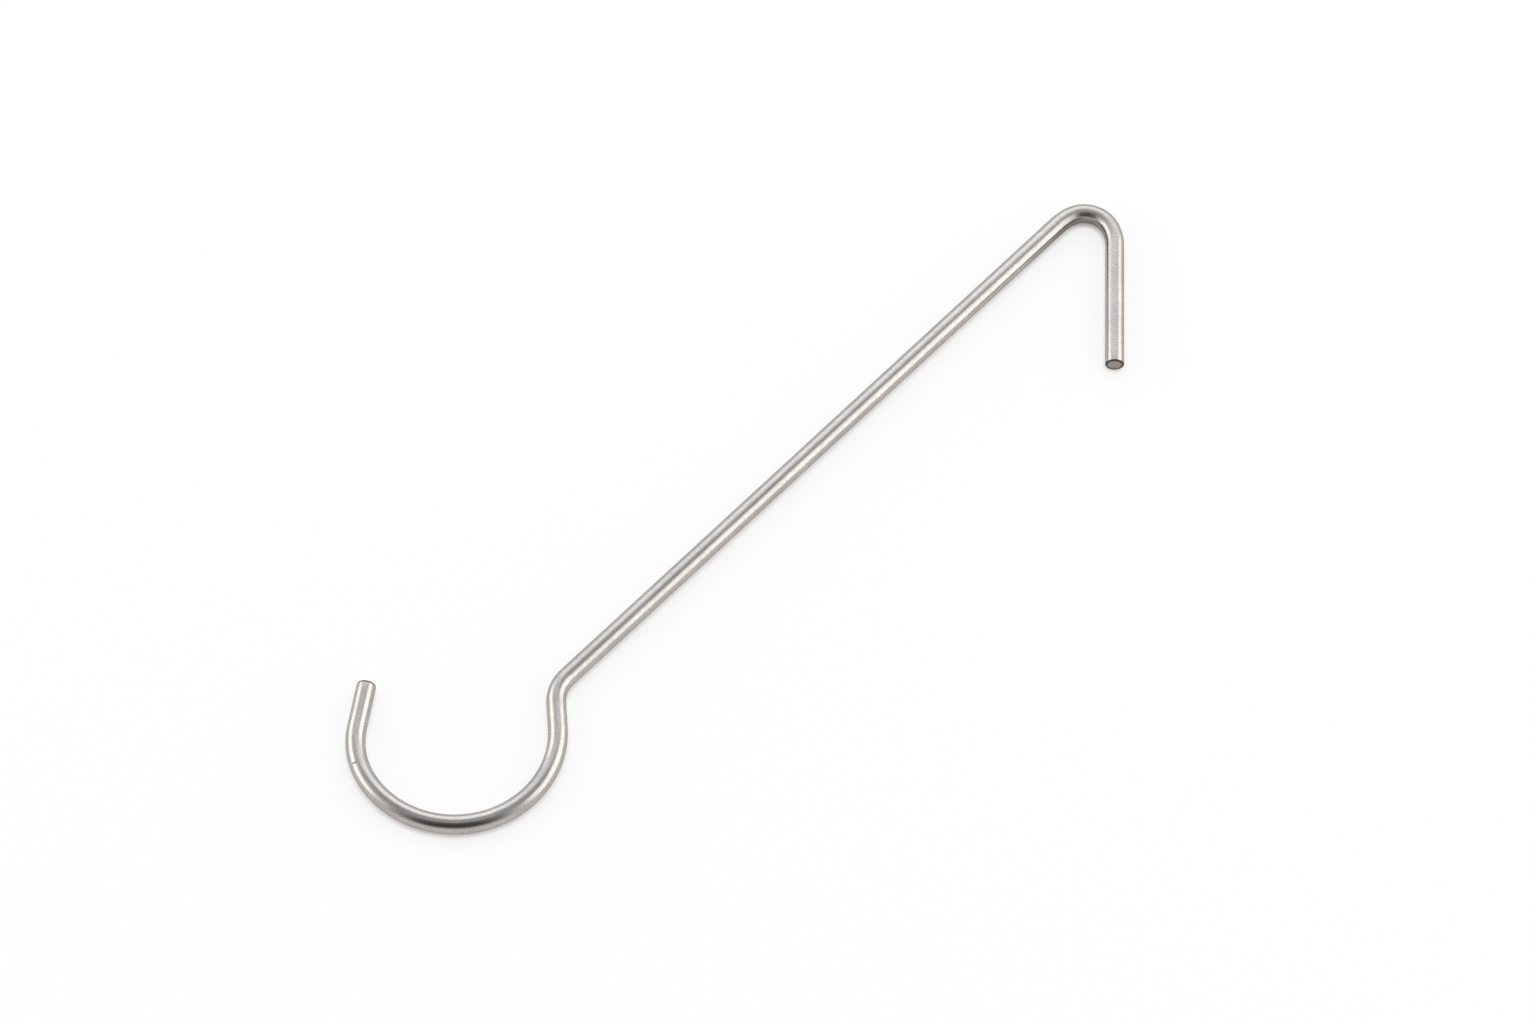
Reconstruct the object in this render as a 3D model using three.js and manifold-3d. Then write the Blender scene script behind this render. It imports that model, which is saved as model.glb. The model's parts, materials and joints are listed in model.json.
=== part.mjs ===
// Sky hook: one length of round stainless bar, bent cold in one plane.
// A large round hook at one end is offset to the middle of a long straight shank by a neck bend;
// the other end is bent back sharply into a short leg that drops over a rail or a limb.
// It is drawn lying flat: +X runs along the shank from the round hook to the crown, +Z is up.
// Millimetres and degrees.

import * as THREE from 'three';
import { mergeVertices, toCreasedNormals } from 'three/addons/utils/BufferGeometryUtils.js';
import Module from 'manifold-3d';

// ---- Driving dimensions -------------------------------------------------------------------

// The bar.
const barDiameter = 6;

// The bar's centreline, in bending order from the tip of the round hook to the end of the leg.
const tipLength = 15;
const tipBendRadius = 26;
const tipBendAngle = 39;
const hookBendRadius = 30.8;
const hookBendAngle = 154.5;
const throatLength = 8.5;
const neckBendRadius = 12;
const neckBendAngle = 47;
const shankLength = 225.5;
const crownEntryRadius = 19;
const crownEntryAngle = 17;
const crownRadius = 8.8;
const crownAngle = 97;
const crownExitRadius = 15.5;
const crownExitAngle = 25;
const legLength = 44.7;

// The two cut ends: the hook's tip is ground round for the hand, the leg's end is only deburred.
const tipRounding = 0.9;
const legRounding = 0.3;

// Fineness of the facets.
const barSides = 32;
const degreesPerBendStep = 5;
const degreesPerRoundingStep = 18;
const creaseAngle = 30;

// Finish: bright-drawn stainless steel, ground to a satin.
const steelColour = 0xbab8b5;
const steelRoughness = 0.32;
const steelMetalness = 1;

// ---- Centreline ---------------------------------------------------------------------------

// A bend is positive where the bar turns left, seen from above.
const centreline = [
  { length: tipLength },
  { radius: tipBendRadius, turn: tipBendAngle },
  { radius: hookBendRadius, turn: hookBendAngle },
  { length: throatLength },
  { radius: neckBendRadius, turn: -neckBendAngle },
  { length: shankLength },
  { radius: crownEntryRadius, turn: -crownEntryAngle },
  { radius: crownRadius, turn: -crownAngle },
  { radius: crownExitRadius, turn: -crownExitAngle },
  { length: legLength },
];

// The heading at the tip that brings the shank out along +X.
const tipHeading = neckBendAngle - hookBendAngle - tipBendAngle;

// The way along the bar at a heading, and the way to its left.
function along(heading) {
  const angle = THREE.MathUtils.degToRad(heading);
  return new THREE.Vector3(Math.cos(angle), Math.sin(angle), 0);
}

function leftOf(heading) {
  return along(heading + 90);
}

// A chain of straights and bends, each tangent to the one before it. Its parameter counts
// stations, one for a straight and one for each few degrees of a bend, so that an extrusion
// spends its steps on the bends.
class BentBar extends THREE.Curve {
  constructor(pieces, firstHeading) {
    super();
    this.pieces = [];
    this.stations = 0;
    const start = new THREE.Vector3();
    let heading = firstHeading;
    for (const { length = 0, radius = 0, turn = 0 } of pieces) {
      const steps = Math.max(1, Math.ceil(Math.abs(turn) / degreesPerBendStep));
      const piece = { length, radius, turn, heading, start: start.clone(), first: this.stations, steps };
      this.pieces.push(piece);
      this.stations += steps;
      start.copy(this.pointOn(piece, 1));
      heading += turn;
    }
  }

  // A point on one piece, at a share of its length.
  pointOn({ length, radius, turn, heading, start }, share) {
    if (turn === 0) return start.clone().addScaledVector(along(heading), length * share);
    const side = Math.sign(turn) * radius;
    const centre = start.clone().addScaledVector(leftOf(heading), side);
    return centre.addScaledVector(leftOf(heading + turn * share), -side);
  }

  // The piece that holds parameter t, and the share of it that t has covered.
  locate(t) {
    const station = THREE.MathUtils.clamp(t, 0, 1) * this.stations;
    const piece = this.pieces.find(({ first, steps }) => station <= first + steps) ?? this.pieces.at(-1);
    return { piece, share: (station - piece.first) / piece.steps };
  }

  getPoint(t, target = new THREE.Vector3()) {
    const { piece, share } = this.locate(t);
    return target.copy(this.pointOn(piece, share));
  }

  getTangent(t, target = new THREE.Vector3()) {
    const { piece, share } = this.locate(t);
    return target.copy(along(piece.heading + piece.turn * share));
  }

  // Steps are even in stations, not in length.
  getUtoTmapping(u) {
    return u;
  }
}

// ---- Solids -------------------------------------------------------------------------------

const wasm = await Module();
wasm.setup();

function solidFrom(geometry) {
  const bare = geometry.clone();
  bare.deleteAttribute('normal');
  bare.deleteAttribute('uv');
  const merged = mergeVertices(bare);
  const mesh = new wasm.Mesh({
    numProp: 3,
    vertProperties: new Float32Array(merged.attributes.position.array),
    triVerts: new Uint32Array(merged.index.array),
  });
  return new wasm.Manifold(mesh);
}

function geometryFrom(solid) {
  const { vertProperties, triVerts } = solid.getMesh();
  const geometry = new THREE.BufferGeometry();
  geometry.setAttribute('position', new THREE.BufferAttribute(vertProperties, 3));
  geometry.setIndex(new THREE.BufferAttribute(triVerts, 1));
  return geometry;
}

// The plain bent bar, square-cut at both ends.
function makeBar(path) {
  const section = new THREE.Shape().absarc(0, 0, barDiameter / 2, 0, 2 * Math.PI);
  const curveSegments = barSides / 2;
  return new THREE.ExtrudeGeometry(section, { steps: path.stations, curveSegments, extrudePath: path });
}

// A ring that rounds the rim of a square-cut end. Its axis is +Y and the end face is at y = 0.
// The round reaches a hair past the bar's wall, so that it cuts the wall cleanly, and the ring
// stands well clear of the bar outside and beyond its end.
function makeRimCutter(rounding) {
  const pastWall = 0.01;
  const clearance = 1;
  const centreX = barDiameter / 2 - rounding + pastWall;
  const steps = Math.ceil(90 / degreesPerRoundingStep);
  const profile = [];
  for (let step = 0; step <= steps; step++) {
    const angle = (Math.PI / 2) * (step / steps);
    profile.push(new THREE.Vector2(
      centreX + rounding * Math.cos(angle),
      rounding * (Math.sin(angle) - 1),
    ));
  }
  const outside = barDiameter / 2 + clearance;
  profile.push(new THREE.Vector2(centreX, clearance));
  profile.push(new THREE.Vector2(outside, clearance));
  profile.push(new THREE.Vector2(outside, -rounding));
  profile.push(profile[0].clone());
  return new THREE.LatheGeometry(profile.reverse(), barSides);
}

// The rim cutter, set on the end of the bar at a point, facing along a heading.
function cutterAt(point, heading, rounding) {
  const cutter = makeRimCutter(rounding);
  cutter.rotateZ(THREE.MathUtils.degToRad(heading - 90));
  cutter.translate(point.x, point.y, point.z);
  return solidFrom(cutter);
}

// ---- The part -----------------------------------------------------------------------------

const path = new BentBar(centreline, tipHeading);
const leg = path.pieces.at(-1);

const rod = solidFrom(makeBar(path))
  .subtract(cutterAt(path.getPoint(0), tipHeading + 180, tipRounding))
  .subtract(cutterAt(path.getPoint(1), leg.heading, legRounding));

const steel = new THREE.MeshStandardMaterial({
  name: 'satin_stainless',
  color: steelColour,
  roughness: steelRoughness,
  metalness: steelMetalness,
});

const shading = THREE.MathUtils.degToRad(creaseAngle);
const hookRod = new THREE.Mesh(toCreasedNormals(geometryFrom(rod), shading), steel);
hookRod.name = 'hook_rod';

// The origin is under the middle of the bar's outline, on the surface that it lies on.
hookRod.geometry.computeBoundingBox();
const { min, max } = hookRod.geometry.boundingBox;
hookRod.position.set(-(min.x + max.x) / 2, -(min.y + max.y) / 2, -min.z);

const skyHook = new THREE.Group();
skyHook.name = 'sky_hook';
skyHook.add(hookRod);

export default skyHook;
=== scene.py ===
# %% [markdown]
# # A sky hook in satin stainless steel
#
# The object is one length of round bar, taken to be 6 mm thick. It is drawn as if it was ground to
# a satin while it was straight, cut to length, deburred, and then bent cold in one plane: a large
# round hook, a neck that brings the shank out over the middle of the hook, a long shank, and a
# sharp crown with a short leg. That order of work is a guess.
#
# This lesson makes it in the same order. A ring of edges is carried along the bar's path, by
# extruding for each straight and spinning for each bend. The ends are closed and rounded, and the
# finish is worked out on the straight bar and follows it round the bends.

# %% Load the frame
import json
import math

import bpy
from mathutils import Matrix, Vector


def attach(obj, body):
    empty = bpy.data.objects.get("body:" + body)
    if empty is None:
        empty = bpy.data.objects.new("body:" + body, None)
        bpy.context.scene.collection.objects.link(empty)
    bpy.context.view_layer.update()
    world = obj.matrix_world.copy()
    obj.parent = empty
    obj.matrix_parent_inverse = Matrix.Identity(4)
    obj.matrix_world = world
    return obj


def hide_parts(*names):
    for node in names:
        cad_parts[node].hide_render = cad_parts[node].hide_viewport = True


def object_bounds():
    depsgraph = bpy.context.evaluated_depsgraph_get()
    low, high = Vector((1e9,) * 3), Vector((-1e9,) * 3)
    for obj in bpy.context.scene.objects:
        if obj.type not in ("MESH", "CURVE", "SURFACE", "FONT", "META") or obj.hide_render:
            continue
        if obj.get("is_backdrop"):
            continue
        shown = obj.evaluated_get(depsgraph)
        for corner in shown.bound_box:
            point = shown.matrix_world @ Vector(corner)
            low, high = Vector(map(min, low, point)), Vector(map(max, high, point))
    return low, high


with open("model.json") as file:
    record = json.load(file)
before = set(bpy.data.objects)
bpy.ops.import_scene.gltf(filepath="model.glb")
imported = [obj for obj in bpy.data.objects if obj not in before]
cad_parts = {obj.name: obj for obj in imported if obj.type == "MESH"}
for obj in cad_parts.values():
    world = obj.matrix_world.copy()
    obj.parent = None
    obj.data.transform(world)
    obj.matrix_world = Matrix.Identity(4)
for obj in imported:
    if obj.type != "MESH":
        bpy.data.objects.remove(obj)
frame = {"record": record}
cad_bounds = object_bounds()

MM = 0.001
print("the bar's box, in mm:", [round((b - a) / MM, 1) for a, b in zip(*cad_bounds)])

# %% [markdown]
# ## The bar's sizes
#
# A bent bar is drawn as a table for the bender: how far to feed it, then how far to turn it and
# round what radius. This is that table, in millimetres and degrees, in the order of bending from
# the tip of the round hook to the end of the leg. A turn to the left is positive.

# %% The bender's table
BAR_RADIUS = 3 * MM
BENDS = [
    ("tip", 15 * MM, 0),
    ("tip bend", 26 * MM, 39),
    ("round hook", 30.8 * MM, 154.5),
    ("throat", 8.5 * MM, 0),
    ("neck bend", 12 * MM, -47),
    ("shank", 225.5 * MM, 0),
    ("way into the crown", 19 * MM, -17),
    ("crown", 8.8 * MM, -97),
    ("way out of the crown", 15.5 * MM, -25),
    ("leg", 44.7 * MM, 0),
]
BENDS_BEFORE_SHANK = 5

# %% [markdown]
# ## The path
#
# Each row of the table becomes a piece with a start, a heading, an end and, for a bend, a centre.
# The shank lies along +X, so the first heading undoes the bends that come before the shank. The
# record says where the middle of the tip's flat face is, and the path starts there.

# %% Lay out the path
mounts = {mount["name"]: Vector(mount["pos_m"]) for mount in frame["record"]["mounts"]}


def direction(heading):
    """The level unit vector that points along a heading, in degrees from +X."""
    angle = math.radians(heading)
    return Vector((math.cos(angle), math.sin(angle), 0))


def lay_out(start, heading):
    """The bar's pieces, from the tip to the end of the leg."""
    pieces = []
    travelled = 0
    for name, size, turn in BENDS:
        piece = {"name": name, "start": start, "heading": heading, "turn": turn, "from": travelled}
        if turn:
            to_centre = direction(heading + 90) * math.copysign(size, turn)
            piece["centre"] = start + to_centre
            piece["length"] = size * math.radians(abs(turn))
            start = piece["centre"] - Matrix.Rotation(math.radians(turn), 3, "Z") @ to_centre
        else:
            piece["length"] = size
            start = start + direction(heading) * size
        piece["end"] = start
        heading += turn
        travelled += piece["length"]
        pieces.append(piece)
    return pieces


first_heading = -sum(turn for name, size, turn in BENDS[:BENDS_BEFORE_SHANK])
path = lay_out(mounts["tip_face"], first_heading)
bar_length = sum(piece["length"] for piece in path)
miss = (path[-1]["end"] - mounts["leg_end_face"]).length
print(f"the bar is {bar_length / MM:.1f} mm long, and its end is {miss / MM:.4f} mm off the mount")

# %% [markdown]
# ## Bending the bar
#
# The bar starts as a ring of edges, standing square across the path at the tip. A straight is a
# few Extrudes in a row. A bend is one Spin about the bend's centre, which is just what a bending
# machine does, so the bar leaves every bend exactly square to its path. A curve with a round
# bevel would be quicker, but it spaces its rings evenly and smears the places where a bend meets
# a straight. Spin counts a turn about -Z as positive here, so a turn to the left spins about -Z.

# %% Bend the bar
RING_SIDES = 64
DEGREES_PER_STEP = 2
STRAIGHT_STEP = 4 * MM


def select_nothing():
    if bpy.context.mode != "OBJECT":
        bpy.ops.object.mode_set(mode="OBJECT")
    bpy.ops.object.select_all(action="DESELECT")


select_nothing()
bpy.ops.mesh.primitive_circle_add(
    vertices=RING_SIDES,
    radius=BAR_RADIUS,
    fill_type="NOTHING",
    location=path[0]["start"],
    rotation=(0, math.radians(90), math.radians(first_heading)),
)
rod = bpy.context.object
rod.name = "satin_rod"
rod.data.name = "satin_rod"
bpy.ops.object.transform_apply(location=True, rotation=True, scale=True)
bpy.ops.object.mode_set(mode="EDIT")
bpy.ops.mesh.select_all(action="SELECT")
for piece in path:
    if piece["turn"]:
        bpy.ops.mesh.spin(
            steps=math.ceil(abs(piece["turn"]) / DEGREES_PER_STEP),
            angle=math.radians(piece["turn"]),
            center=piece["centre"],
            axis=(0, 0, -1),
        )
    else:
        steps = math.ceil(piece["length"] / STRAIGHT_STEP)
        step = (piece["end"] - piece["start"]) / steps
        for _ in range(steps):
            bpy.ops.mesh.extrude_region_move(TRANSFORM_OT_translate={"value": step})
    rod.update_from_editmode()
    ring = [vertex.co for vertex in rod.data.vertices if vertex.select]
    miss = (sum(ring, Vector()) / len(ring) - piece["end"]).length
    print(f"{piece['name']}: {piece['length'] / MM:.1f} mm, {miss / MM:.4f} mm off its end")

# %% [markdown]
# ## Closing the ends
#
# So far this is a tube of rings, open at both ends. Where two steps met, their rings may lie on
# each other, so they are welded first. Then the only open edges left are the rings at the two
# ends, and one face fills each of them, as flat as a square cut.

# %% Close the ends
HAIR = 0.001 * MM
bpy.ops.mesh.select_all(action="SELECT")
bpy.ops.mesh.remove_doubles(threshold=HAIR)
bpy.ops.mesh.select_all(action="DESELECT")
bpy.ops.mesh.select_non_manifold()
bpy.ops.mesh.fill_holes(sides=0)
rod.update_from_editmode()
print(f"{len(rod.data.polygons)} faces, of which 2 close the ends")

# %% [markdown]
# ## Rounding the rims
#
# The tip's rim is ground round for the hand, and the leg's rim only has its burr taken off. The
# edge round each flat face is bevelled with enough segments to be a true round. A narrow inset
# inside each flat face keeps the smooth shading of the round from running over the flat.

# %% Round the rims
TIP_ROUNDING = 0.9 * MM
LEG_ROUNDING = 0.3 * MM
ROUNDING_SEGMENTS = 8
INSET = 0.05 * MM
ends = [
    (path[0]["start"], direction(first_heading + 180), TIP_ROUNDING),
    (path[-1]["end"], direction(path[-1]["heading"]), LEG_ROUNDING),
]


def select_end(centre, facing, mode):
    """In edit mode, select what lies in the end's own plane, within the bar's radius."""
    bpy.ops.mesh.select_mode(type="VERT")
    bpy.ops.mesh.select_all(action="DESELECT")
    bpy.ops.object.mode_set(mode="OBJECT")
    for vertex in rod.data.vertices:
        away = vertex.co - centre
        vertex.select = abs(away.dot(facing)) < HAIR and away.length < BAR_RADIUS + INSET
    bpy.ops.object.mode_set(mode="EDIT")
    bpy.ops.mesh.select_mode(type=mode)


for centre, facing, rounding in ends:
    select_end(centre, facing, "EDGE")
    bpy.ops.mesh.bevel(offset=rounding, segments=ROUNDING_SEGMENTS, affect="EDGES")
    select_end(centre, facing, "FACE")
    bpy.ops.mesh.inset(thickness=INSET)
    print(f"a rim rounded to {rounding / MM:.1f} mm")

# %% [markdown]
# ## Closed, facing outwards and smooth
#
# A solid bar has no open edges, and its faces point away from the steel. Both are made sure of
# here, and then the shading is smoothed everywhere but over sharp edges.

# %% Check and smooth
CREASE = math.radians(30)
bpy.ops.mesh.select_mode(type="EDGE")
bpy.ops.mesh.select_all(action="SELECT")
bpy.ops.mesh.normals_make_consistent(inside=False)
bpy.ops.mesh.select_all(action="DESELECT")
bpy.ops.mesh.select_non_manifold()
rod.update_from_editmode()
loose = sum(edge.select for edge in rod.data.edges)
bpy.ops.object.mode_set(mode="OBJECT")
rod.select_set(True)
bpy.ops.object.shade_smooth_by_angle(angle=CREASE)
print(f"{len(rod.data.polygons)} faces, {loose} open edges")

# %% [markdown]
# ## Each point's place on the straight bar
#
# The grinding is taken to come before the bending, so its lines run squarely round the bar
# everywhere, also in the bends. To draw them that way, every point is told where it was on the
# straight bar: how far from the tip, how far to the left and how high. A pattern that reads this
# place needs no unwrapping, and has no seam.

# %% Undo the bends, point by point


def unbend(point):
    """Distance from the tip, to the left and above the middle, on the bar before bending."""
    for piece in path:
        if piece["turn"]:
            spoke = point - piece["centre"]
            spoke.z = 0
            first_spoke = piece["start"] - piece["centre"]
            radius = first_spoke.length
            left_turn = math.copysign(1, piece["turn"])
            angle = -first_spoke.xy.angle_signed(spoke.xy) * left_turn
            along = angle * radius
            left = (radius - spoke.length) * left_turn
        else:
            offset = point - piece["start"]
            along = offset.dot(direction(piece["heading"]))
            left = offset.dot(direction(piece["heading"] + 90))
        if abs(left) < BAR_RADIUS + HAIR and -HAIR < along < piece["length"] + HAIR:
            return Vector((piece["from"] + along, left, point.z - BAR_RADIUS))
    raise ValueError(f"{point} isn't on the bar")


places = [unbend(vertex.co) for vertex in rod.data.vertices]
straight_bar = rod.data.attributes.new("straight_bar", "FLOAT_VECTOR", "POINT")
for entry, place in zip(straight_bar.data, places):
    entry.vector = place
print(f"places run from {min(p.x for p in places) / MM:.2f} to {max(p.x for p in places) / MM:.2f} mm")

# %% [markdown]
# ## Unrolling the skin
#
# The steel also needs to know which way is along the bar at each point, because it blurs a
# reflection more along the bar than across it. That direction comes from a map of the skin,
# unrolled flat: along the bar to the right, round the bar upwards, with its seam underneath. One
# strip would be 23 times as long as it is wide, so the skin is cut across into five strips that
# are stacked, and the two end faces stand beside them.

# %% Lay the skin flat
STRIPS = 5
SKIN_GAP = 0.6 * MM
OVERHANG = STRAIGHT_STEP / 2
girth = math.tau * BAR_RADIUS
strip_length = bar_length / STRIPS
sheet_side = STRIPS * (girth + SKIN_GAP) + SKIN_GAP
end_column = sheet_side - BAR_RADIUS - SKIN_GAP
skin = rod.data.uv_layers.new(name="OFBake")


def on_end_face(face):
    """0 for the tip's flat face, 1 for the leg's, and None elsewhere."""
    for number, (centre, facing, rounding) in enumerate(ends):
        if all(abs((rod.data.vertices[v].co - centre).dot(facing)) < HAIR for v in face.vertices):
            return number
    return None


def skin_place(place, middle, end):
    """A corner's place on the sheet, in metres. middle is the place of its face's middle."""
    along, left, up = place
    if end is not None:
        return end_column + left, (2 * end + 1) * (BAR_RADIUS + SKIN_GAP) + up
    rolled_in = BAR_RADIUS - math.hypot(left, up)
    along += rolled_in if middle.x > bar_length / 2 else -rolled_in
    around = math.atan2(left, up)
    around_middle = math.atan2(middle.y, middle.z)
    around += math.tau * round((around_middle - around) / math.tau)
    strip = min(int(middle.x / strip_length), STRIPS - 1)
    return (
        OVERHANG + along - strip * strip_length,
        SKIN_GAP + strip * (girth + SKIN_GAP) + (around + math.pi) * BAR_RADIUS,
    )


for face in rod.data.polygons:
    middle = sum((places[v] for v in face.vertices), Vector()) / len(face.vertices)
    end = on_end_face(face)
    for corner, v in zip(face.loop_indices, face.vertices):
        skin.uv[corner].vector = Vector(skin_place(places[v], middle, end)) / sheet_side
strips_reach = OVERHANG + strip_length + OVERHANG
print(f"the sheet is {sheet_side / MM:.1f} mm square")
print(f"strips reach {strips_reach / MM:.1f} mm, ends start at {(end_column - BAR_RADIUS) / MM:.1f} mm")

# %% [markdown]
# ## One function for every node
#
# A material is a small graph. This function adds one node to it and gives back one of the node's
# outputs, so that the next node can be joined to it. It sets the node's own settings, and fills
# its inputs, which are either listed in the node's own order or named. An input takes a number, a
# colour or another node's output.

# %% A node, and a colour


def add_node(tree, kind, inputs=(), out=0, **settings):
    node = tree.nodes.new("ShaderNode" + kind)
    for name, value in settings.items():
        setattr(node, name, value)
    named = inputs if isinstance(inputs, dict) else dict(enumerate(inputs))
    for name, value in named.items():
        if isinstance(value, bpy.types.NodeSocket):
            tree.links.new(value, node.inputs[name])
        else:
            node.inputs[name].default_value = value
    return node.outputs[out] if node.outputs else None


def colour(hex_code):
    """A colour written as sRGB hex, as the linear numbers that a node takes."""
    channels = [int(hex_code[i : i + 2], 16) / 255 for i in (1, 3, 5)]
    return [c / 12.92 if c < 0.04045 else ((c + 0.055) / 1.055) ** 2.4 for c in channels] + [1]


def new_material(name):
    material = bpy.data.materials.new(name)
    material.use_nodes = True
    material.node_tree.nodes.clear()
    return material, material.node_tree


print("a middle grey in linear numbers:", [round(channel, 3) for channel in colour("#808080")])

# %% [markdown]
# ## Satin-ground stainless steel
#
# The bar is drawn as stainless steel that was ground round and round between wheels, which leaves
# fine lines squarely round it. To the eye such lines do two things: across the bar a reflection
# stays crisp, so a lamp shows as a clean strip, and along the bar it is drawn out long. A shader
# says this with anisotropy, along the map's sideways direction. Real lines are too fine to show,
# so they are drawn coarser: as short strokes 0.6 mm apart, a little longer round the bar than
# along it. Broader clouds stand for the uneven pressure of the wheel, and both are faint.

# %% The satin steel: its grain and clouds
GRAIN_SPACING = 0.6 * MM
GRAIN_LENGTH = 0.9 * MM
CLOUD_SIZE = 9 * MM
satin_steel, tree = new_material("satin_stainless_steel")
place = add_node(tree, "Attribute", out="Vector", attribute_name="straight_bar")
grain_scale = (1 / GRAIN_SPACING, 1 / GRAIN_LENGTH, 1 / GRAIN_LENGTH)
grain_place = add_node(tree, "Mapping", {"Vector": place, "Scale": grain_scale})
grain = add_node(tree, "TexNoise", {"Vector": grain_place, "Scale": 1, "Detail": 2}, "Fac")
clouds = add_node(tree, "TexNoise", {"Vector": place, "Scale": 1 / CLOUD_SIZE, "Detail": 3}, "Fac")
print(f"grain {GRAIN_SPACING / MM:.1f} mm apart, clouds {CLOUD_SIZE / MM:.0f} mm across")

# %% [markdown]
# ## The tool mark
#
# Near the tip, on the outer side of the hook, is one nick squarely across the bar, such as a
# bending tool leaves: a line 0.3 mm wide and about 2 mm long. It could be cut into the mesh, but
# the mesh's faces are 0.9 mm long there. It is a place on the bar like any other, so a mask finds
# it from the distance to the tip and the angle round the bar, with soft edges, and it is drawn as
# a dull line with a dent under it.

# %% Where the nick is
NICK_FROM_TIP = 28.15 * MM
NICK_WIDTH = 0.28 * MM
NICK_MIDDLE = math.radians(-31)
NICK_HALF_ANGLE = math.radians(20)
NICK_FADE = math.radians(4)
along, left, up = add_node(tree, "SeparateXYZ", [place]).node.outputs
past_nick = add_node(tree, "Math", [along, NICK_FROM_TIP], operation="SUBTRACT")
from_nick = add_node(tree, "Math", [past_nick], operation="ABSOLUTE")
across_nick = add_node(tree, "MapRange", [from_nick, NICK_WIDTH / 4, NICK_WIDTH * 3 / 4, 1, 0])
around = add_node(tree, "Math", [left, up], operation="ARCTAN2")
turned_past = add_node(tree, "Math", [around, NICK_MIDDLE], operation="SUBTRACT")
turned = add_node(tree, "Math", [turned_past], operation="ABSOLUTE")
along_nick = add_node(tree, "MapRange", [turned, NICK_HALF_ANGLE - NICK_FADE, NICK_HALF_ANGLE, 1, 0])
nick = add_node(tree, "Math", [across_nick, along_nick], operation="MULTIPLY")
print(f"the nick is {2 * NICK_HALF_ANGLE * BAR_RADIUS / MM:.1f} mm long")

# %% [markdown]
# ## Painted shade on the crown's inner side
#
# The crown is the sharpest bend, and its inner side looks darker than the rest. That dark tone is
# painted shade: a darker reflection in the bend, painted on the steel, with its middle a little
# before the crown's own. Its place, size and tone were found by trial, and it leaves the crown darker
# on average than it should be. A share of 0 takes it off again. Its mask is made as the nick's is,
# from the distance along the bar and the angle round it, but with wide soft edges.

# %% Where the crown's inner side gets painted shade
SHADE_BEFORE_MIDDLE = 7 * MM
SHADE_FULL = 8 * MM
SHADE_FADED = 26 * MM
SHADE_SHARE = 0.9
INNER_SIDE = math.radians(-100)
INNER_HARD = math.radians(28)
INNER = math.radians(48)
crown = next(piece for piece in path if piece["name"] == "crown")
crown_middle = crown["from"] + crown["length"] / 2
past_shade = add_node(tree, "Math", [along, crown_middle - SHADE_BEFORE_MIDDLE], operation="SUBTRACT")
from_shade = add_node(tree, "Math", [past_shade], operation="ABSOLUTE")
shade_along = add_node(tree, "MapRange", [from_shade, SHADE_FULL, SHADE_FADED, SHADE_SHARE, 0])
past_inner = add_node(tree, "Math", [around, INNER_SIDE], operation="SUBTRACT")
from_inner = add_node(tree, "Math", [past_inner], operation="ABSOLUTE")
shade_around = add_node(tree, "MapRange", [from_inner, INNER_HARD, INNER, 1, 0])
# Painted shade: this mask darkens the crown's inner side.
painted_crown_shade = add_node(tree, "Math", [shade_along, shade_around], operation="MULTIPLY")
print(f"the crown's middle is {crown_middle / MM:.1f} mm from the tip")

# %% [markdown]
# ## The sawn faces and their rims
#
# The flat of each end was never ground with the bar. It is the face that the saw left: dull, with
# faint marks side by side. It is painted lightest in the middle and darker towards the rim, and that
# darkening is painted shade. The rounded rim round it, where the burr came off, is painted darker
# than both, and that too is painted shade. They could be materials of their own, given to their
# faces, but then each would end in a hard line. Masks pick them out softly instead, from the place
# on the bar: how near to an end it is, and how far from the bar's middle line.

# %% Where the sawn faces and their rims are
FACE_DEPTH = 0.02 * MM
TIP_RIM = 1.1 * MM
LEG_RIM = 0.4 * MM
DARKENS_FROM = 0.6 * BAR_RADIUS
DARKEST_AT = 0.95 * BAR_RADIUS
past_middle = add_node(tree, "Math", [along, bar_length / 2], operation="SUBTRACT")
from_middle = add_node(tree, "Math", [past_middle], operation="ABSOLUTE")
sawn = add_node(tree, "Math", [from_middle, bar_length / 2 - FACE_DEPTH], operation="GREATER_THAN")
# The rims' mask darkens them as painted shade, and makes them rougher.
tip_rim = add_node(tree, "MapRange", [along, TIP_RIM, TIP_RIM / 2, 0, 1])
leg_rim = add_node(tree, "MapRange", [along, bar_length - LEG_RIM, bar_length - LEG_RIM / 2, 0, 1])
rim = add_node(tree, "Math", [tip_rim, leg_rim], operation="ADD")
spoke = add_node(tree, "VectorMath", [place, (0, 1, 1)], operation="MULTIPLY")
off_axis = add_node(tree, "VectorMath", [spoke], "Value", operation="LENGTH")
# Painted shade: the sawn face darkens towards its rim.
painted_shade_toward_rim = add_node(tree, "MapRange", [off_axis, DARKENS_FROM, DARKEST_AT, 0, 1])
print(f"rims: {TIP_RIM / MM:.1f} mm wide at the tip, {LEG_RIM / MM:.1f} mm at the leg")

# %% [markdown]
# ## The saw's marks
#
# A saw leaves straight scratches across the face that it cuts. One noise draws them, squeezed
# across the scratches and stretched along them. It reads no distance along the bar, so each face
# gets one flat layer of it. Real ones are closer together, and are drawn 0.3 mm apart to show.

# %% Draw the saw's marks
SAW_MARK_SPACING = 0.3 * MM
SAW_MARK_LENGTH = 4 * MM
saw_scale = (0, 1 / SAW_MARK_LENGTH, 1 / SAW_MARK_SPACING)
saw_place = add_node(tree, "Mapping", {"Vector": place, "Scale": saw_scale})
saw_marks = add_node(tree, "TexNoise", {"Vector": saw_place, "Scale": 1, "Detail": 1}, "Fac")
print(f"saw marks {SAW_MARK_SPACING / MM:.1f} mm apart")
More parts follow.
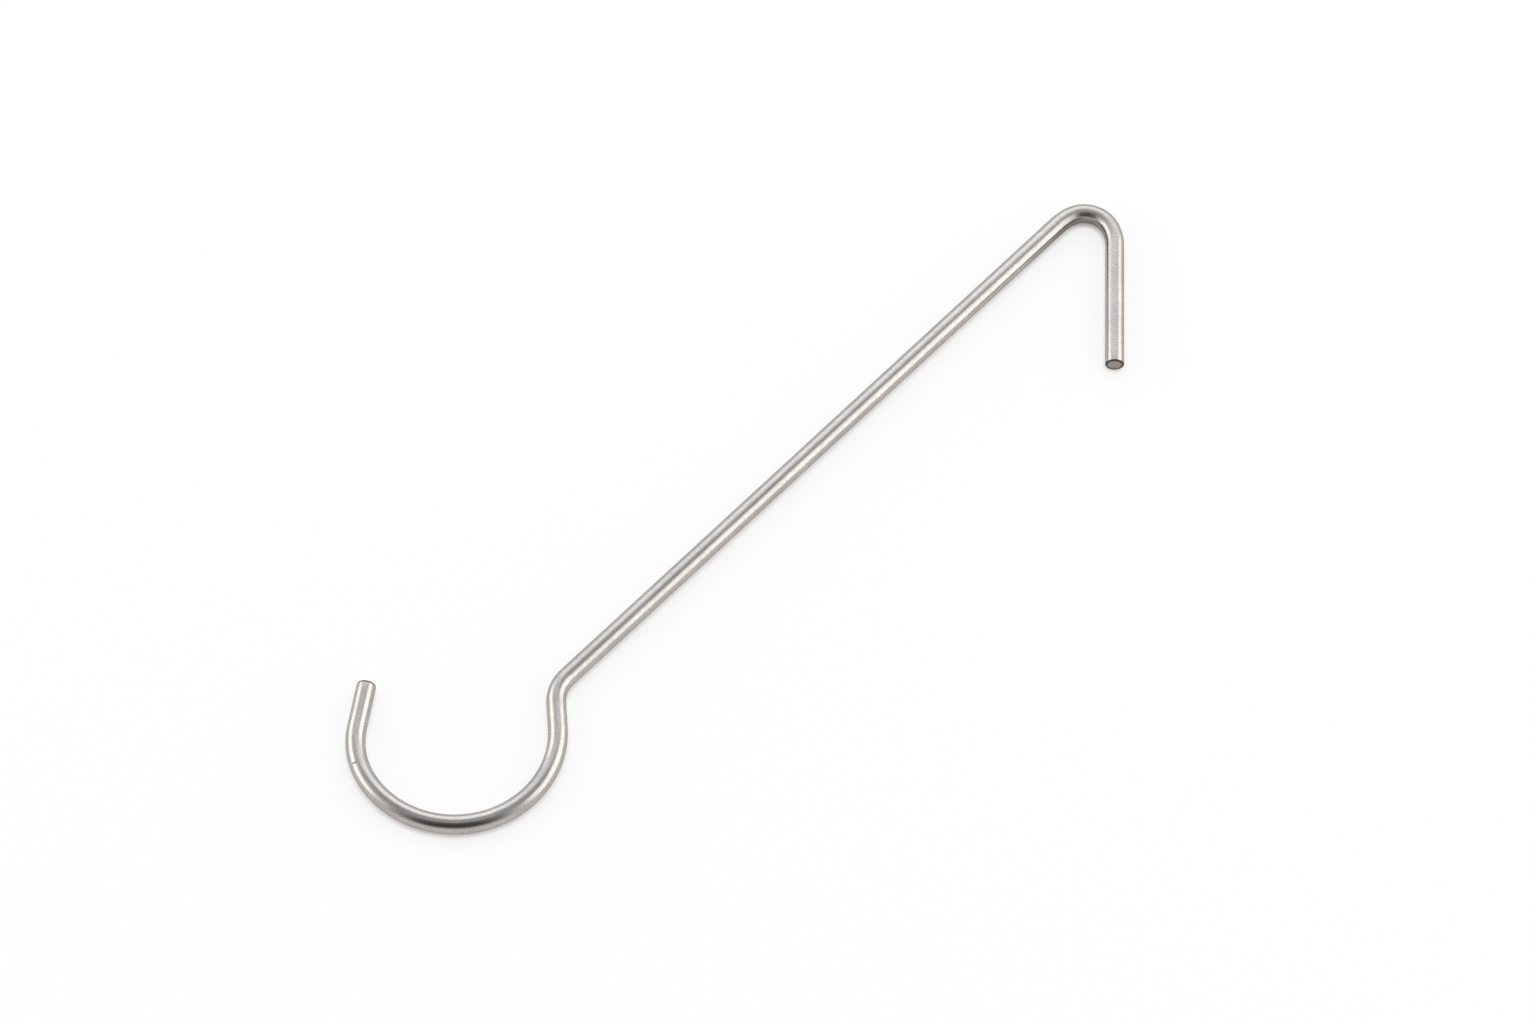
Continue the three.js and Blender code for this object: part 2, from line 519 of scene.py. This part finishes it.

# %% [markdown]
# ## Colour
#
# Bright stainless steel is a pale grey, a shade warm, and the clouds move it a little either way.
# The grain is a little darker than the rest. The crown's inner side is darker by painted shade. The
# sawn faces are duller and warmer, and darken towards the rim by painted shade, the rims are dark by
# painted shade, and the nick is dark.
# Each colour is laid over the one before by its mask, as coats of paint are, so each can be
# changed by itself. A noise keeps close to its middle value, so only that middle part of its
# range is used.

# %% Choose the colours
NOISE_LOW, NOISE_HIGH = 0.3, 0.7
CLOUD_LOW, CLOUD_HIGH = 0.35, 0.65
GRAIN_SHARE = 0.5
cloudy = add_node(tree, "MapRange", [clouds, CLOUD_LOW, CLOUD_HIGH, 0, 1])
grainy = add_node(tree, "MapRange", [grain, NOISE_LOW, NOISE_HIGH, 0, GRAIN_SHARE])
scratched = add_node(tree, "MapRange", [saw_marks, NOISE_LOW, NOISE_HIGH, 0, 1])
skin_colour = colour("#B7B2AF")
# The crown's inner side and the rims are painted shade among these coats.
for mask, over in (cloudy, "#C2BDBA"), (grainy, "#9C9794"), (painted_crown_shade, "#7D726E"), (rim, "#4B4642"):
    coats = {0: mask, 6: skin_colour, 7: colour(over)}
    skin_colour = add_node(tree, "Mix", coats, 2, data_type="RGBA")
face_colour = colour("#B6AEA4")
# The darkening towards the face's rim is painted shade.
for mask, over in (scratched, "#9B938A"), (painted_shade_toward_rim, "#3A342F"):
    coats = {0: mask, 6: face_colour, 7: colour(over)}
    face_colour = add_node(tree, "Mix", coats, 2, data_type="RGBA")
steel_colour = skin_colour
for mask, over in (sawn, face_colour), (nick, colour("#5C5A52")):
    coats = {0: mask, 6: steel_colour, 7: over}
    steel_colour = add_node(tree, "Mix", coats, 2, data_type="RGBA")
print(f"{satin_steel.name}: {len(tree.nodes)} nodes so far")

# %% [markdown]
# ## Roughness
#
# One roughness all over would look like plating. The skin's follows the grain and the clouds. It
# rises where something cut the steel, on the sawn faces, their filed rims and the nick, and it
# rises all round the bar at the crown. That is the sharpest bend, where stretching is likely to
# have taken some of the shine, and the shine comes back over the next centimetre.

# %% Choose the roughness
GRAIN_ROUGHNESS = 0.18, 0.22
CLOUD_ROUGHNESS = -0.02, 0.02
CUT_ROUGHNESS = 0.2
STRETCHED_ROUGHNESS = 0.07
STRETCHED = 6 * MM
SHINY_AGAIN = 16 * MM
past_crown = add_node(tree, "Math", [along, crown_middle], operation="SUBTRACT")
from_crown = add_node(tree, "Math", [past_crown], operation="ABSOLUTE")
stretched = add_node(
    tree, "MapRange", [from_crown, STRETCHED, SHINY_AGAIN, STRETCHED_ROUGHNESS, 0]
)
cut = add_node(tree, "Math", [sawn, rim], operation="ADD")
cut = add_node(tree, "Math", [cut, nick], operation="ADD")
roughness = add_node(tree, "MapRange", [grain, NOISE_LOW, NOISE_HIGH, *GRAIN_ROUGHNESS])
from_clouds = add_node(tree, "MapRange", [clouds, NOISE_LOW, NOISE_HIGH, *CLOUD_ROUGHNESS])
for more in from_clouds, stretched:
    roughness = add_node(tree, "Math", [roughness, more], operation="ADD")
roughness = add_node(tree, "Math", [cut, CUT_ROUGHNESS, roughness], operation="MULTIPLY_ADD")
print(f"the skin shines again {SHINY_AGAIN / MM:.0f} mm from the crown's middle")

# %% [markdown]
# ## Relief
#
# Grooves as fine as these would take millions of faces. A bump leaves the surface where it is,
# and only changes how light falls on it. It works from a height, so the grain, the nick and the
# saw's marks each get theirs, and the three are added up.

# %% Give it relief
GRAIN_HEIGHT = 0.004 * MM
NICK_DEPTH = 0.08 * MM
SAW_MARK_HEIGHT = 0.02 * MM
relief = add_node(tree, "Math", [grain, GRAIN_HEIGHT], operation="MULTIPLY")
relief = add_node(tree, "Math", [nick, -NICK_DEPTH, relief], operation="MULTIPLY_ADD")
on_the_face = add_node(tree, "Math", [saw_marks, sawn], operation="MULTIPLY")
relief = add_node(tree, "Math", [on_the_face, SAW_MARK_HEIGHT, relief], operation="MULTIPLY_ADD")
bump = add_node(tree, "Bump", {"Height": relief, "Distance": 1, "Strength": 1})
print(f"the nick is {NICK_DEPTH / MM:.2f} mm deep, the grain {GRAIN_HEIGHT / MM:.3f} mm")

# %% [markdown]
# ## The steel itself
#
# All of it meets in one shader. The metal keeps the plain default index of refraction. Its edge
# tint is a shade under white, because a satin surface loses some of the mirror's glare at a
# glancing angle.

# %% Put the steel together
ANISOTROPY = 0.6
tangent = add_node(tree, "Tangent", direction_type="UV_MAP", uv_map=skin.name)
steel = add_node(
    tree,
    "BsdfPrincipled",
    {
        "Base Color": steel_colour,
        "Metallic": 1,
        "Roughness": roughness,
        "Anisotropic": ANISOTROPY,
        "Specular Tint": colour("#D8D2CE"),
        "Tangent": tangent,
        "Normal": bump,
    },
)
add_node(tree, "OutputMaterial", {"Surface": steel})
rod.data.materials.clear()
rod.data.materials.append(satin_steel)
print(f"{satin_steel.name}: {len(tree.nodes)} nodes")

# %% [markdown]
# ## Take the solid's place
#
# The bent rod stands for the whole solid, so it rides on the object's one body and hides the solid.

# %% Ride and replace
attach(rod, "root")
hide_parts("hook_rod")
print(f"{rod.name} has {sum(len(face.vertices) - 2 for face in rod.data.polygons)} triangles")

# %% [markdown]
# ## The camera
#
# The hook lies flat, so the camera looks down on it steeply, from the front and well to the left.
# A long lens from 1.8 m keeps the bar's two ends nearly the same thickness.

# %% Set up the camera
CAMERA_AZIMUTH = -49.49
CAMERA_ELEVATION = 59.83
CAMERA_ROLL = 2.62
CAMERA_DISTANCE = 1.7695
LENS = 134.22
SENSOR_WIDTH = 36
LOOK_AT = Vector((-0.17, -2.28, 3)) * MM
rise = math.radians(CAMERA_ELEVATION)
toward_camera = direction(CAMERA_AZIMUTH - 90) * math.cos(rise) + Vector((0, 0, math.sin(rise)))
camera_right = direction(CAMERA_AZIMUTH)
camera_up = toward_camera.cross(camera_right)
stance = Matrix((camera_right, camera_up, toward_camera)).transposed()
stance = stance @ Matrix.Rotation(math.radians(CAMERA_ROLL), 3, "Z")
camera_data = bpy.data.cameras.new("camera")
camera_data.lens = LENS
camera_data.sensor_width = SENSOR_WIDTH
camera = bpy.data.objects.new("camera", camera_data)
camera.matrix_world = Matrix.Translation(LOOK_AT + toward_camera * CAMERA_DISTANCE) @ stance.to_4x4()
bpy.context.scene.collection.objects.link(camera)
bpy.context.scene.camera = camera
print("camera at", [round(value, 3) for value in camera.matrix_world.translation])

# %% [markdown]
# ## The table
#
# A plain matt white table, wide enough to fill every view. A studio gets a shadow-free white by
# lighting the table from below as well. Here it glows by itself, at a strength of exactly 1, and
# only for what looks at it: the camera, and the rays that come off metal or pass through glass.
# It sheds no light on the hook, and the rest of its white is paint, which keeps the hook's shadow.
# No light from below would reach the crack under a round bar. So the glow dies away where
# something lies over the table within a couple of millimetres, and the contact stays dark.

# %% Lay the table
TABLE_SIDE = 20
GLOW_SHARE = 0.8
CRACK_DEPTH = 1.8 * MM
select_nothing()
bpy.ops.mesh.primitive_plane_add(size=TABLE_SIDE, location=(0, 0, 0))
table = bpy.context.object
table.name = "white_table"
white_table, tree = new_material("lit_white_table")
paint = add_node(tree, "BsdfPrincipled", {"Base Color": colour("#FFFDFC"), "Roughness": 1})
glow = add_node(tree, "Emission", {"Strength": 1})
ray = add_node(tree, "LightPath").node.outputs
off_or_through = [ray["Is Glossy Ray"], ray["Is Transmission Ray"]]
share = add_node(tree, "Math", off_or_through, operation="ADD")
share = add_node(tree, "Math", [share, ray["Is Camera Ray"]], operation="ADD")
openness = add_node(tree, "AmbientOcclusion", {"Distance": CRACK_DEPTH}, "AO")
for factor in openness, GLOW_SHARE:
    share = add_node(tree, "Math", [share, factor], operation="MULTIPLY")
surface = add_node(tree, "MixShader", [share, paint, glow])
add_node(tree, "OutputMaterial", {"Surface": surface})
table.data.materials.append(white_table)
table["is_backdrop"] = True
print(f"the table is {TABLE_SIDE} m square")

# %% [markdown]
# ## The room
#
# Polished metal is a mirror, and what it mirrors is the room. This one is pale on the far side
# and at the sides: bright from a little above the table's edge to half way up, and dimmer
# overhead. Behind the camera it falls away into the dark above the table's edge, and that gives
# the metal its dark strips. Both halves are painted on the world by height alone, in steps of
# 10 degrees, and the bearing fades one into the other.

# %% Light the room
FAR_SIDE = [0.7, 1.15, 1.5, 1.55, 1.35, 1.0, 0.75, 0.5, 0.6, 0.7]
CAMERA_SIDE = [0.95, 0.7, 0.35, 0.08, 0.06, 0.1, 0.1, 0.15, 0.35, 0.7]
FAR_TINT = colour("#FBFDFF")
CAMERA_TINT = colour("#FFFBFA")
FADE_FROM = 0.25
FADE_TO = 0.94
BRIGHTEST = max(FAR_SIDE)
world = bpy.data.worlds.new("pale_room")
world.use_nodes = True
tree = world.node_tree
tree.nodes.clear()
look = add_node(tree, "TexCoord", out="Generated")
upward = add_node(tree, "SeparateXYZ", [look], "Z")
height = add_node(tree, "Math", [upward], operation="ARCSINE")
share_of_height = add_node(tree, "MapRange", [height, 0, math.pi / 2, 0, 1])
sides = []
for levels, tint in (FAR_SIDE, FAR_TINT), (CAMERA_SIDE, CAMERA_TINT):
    side = add_node(tree, "ValToRGB", [share_of_height])
    stops = side.node.color_ramp.elements
    while len(stops) < len(levels):
        stops.new(position=0.5)
    for number, (stop, level) in enumerate(zip(stops, levels)):
        stop.position = number / (len(levels) - 1)
        stop.color = [level / BRIGHTEST * channel for channel in tint[:3]] + [1]
    sides.append(side)
level_look = add_node(tree, "VectorMath", [look, (1, 1, 0)], operation="MULTIPLY")
bearing = add_node(tree, "VectorMath", [level_look], operation="NORMALIZE")
front = direction(CAMERA_AZIMUTH - 90)
toward_front = add_node(tree, "VectorMath", [bearing, front], "Value", operation="DOT_PRODUCT")
fade = add_node(
    tree, "MapRange", [toward_front, FADE_FROM, FADE_TO], interpolation_type="SMOOTHSTEP"
)
room = add_node(tree, "Mix", {0: fade, 6: sides[0], 7: sides[1]}, 2, data_type="RGBA")
background = add_node(tree, "Background", {"Color": room, "Strength": BRIGHTEST})
add_node(tree, "OutputWorld", {"Surface": background})
bpy.context.scene.world = world
print("brightest part of the room:", BRIGHTEST)

# %% [markdown]
# ## Three soft boxes
#
# Two square-on soft boxes stand on the table's left and right and give the clean bright strips
# along the bar. A round one hangs high on the far side, for the softer strip along its top. A
# lamp of this kind adds to the room behind it, so each is only as bright as the strip needs, and
# the table stays just under white. Bearing 0 is straight away from the camera, and 90 is to its
# right.

# %% Hang the soft boxes
SOFT_BOXES = [
    # name, shape, bearing, distance, height of the middle, width, height, radiance, tint
    ("left_soft_box", "RECTANGLE", -81, 1.6, 0.69, 1.85, 1.28, 0.85, "#FFFBEE"),
    ("right_soft_box", "RECTANGLE", 81, 1.6, 1.25, 1.95, 2.3, 0.85, "#FFFBEA"),
    ("far_round_box", "DISK", 0, 1.27, 1.27, 1.5, 1.5, 0.5, "#F4FAFF"),
]
for name, shape, bearing, distance, middle, width, tall, radiance, tint in SOFT_BOXES:
    lamp = bpy.data.lights.new(name, "AREA")
    lamp.shape = shape
    lamp.size = width
    lamp.size_y = tall
    area = math.pi / 4 * width**2 if shape == "DISK" else width * tall
    lamp.energy = radiance * math.pi * area
    lamp.color = colour(tint)[:3]
    soft_box = bpy.data.objects.new(name, lamp)
    soft_box.location = direction(CAMERA_AZIMUTH + 90 - bearing) * distance + Vector((0, 0, middle))
    target = Vector((0, 0, 0 if shape == "DISK" else middle))
    soft_box.rotation_euler = (target - soft_box.location).to_track_quat("-Z", "Y").to_euler()
    soft_box.visible_camera = False
    bpy.context.scene.collection.objects.link(soft_box)
    print(f"{name}: {lamp.energy:.1f} W")

# %% [markdown]
# ## Finish
#
# The render leaves colours as they are lit. The visual model's box is printed beside the solid's,
# to be compared.

# %% Measure and finish
bpy.context.scene.view_settings.view_transform = "Standard"
visual_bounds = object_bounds()
for box in (cad_bounds, visual_bounds):
    print([round((high - low) / MM, 2) for low, high in zip(*box)])
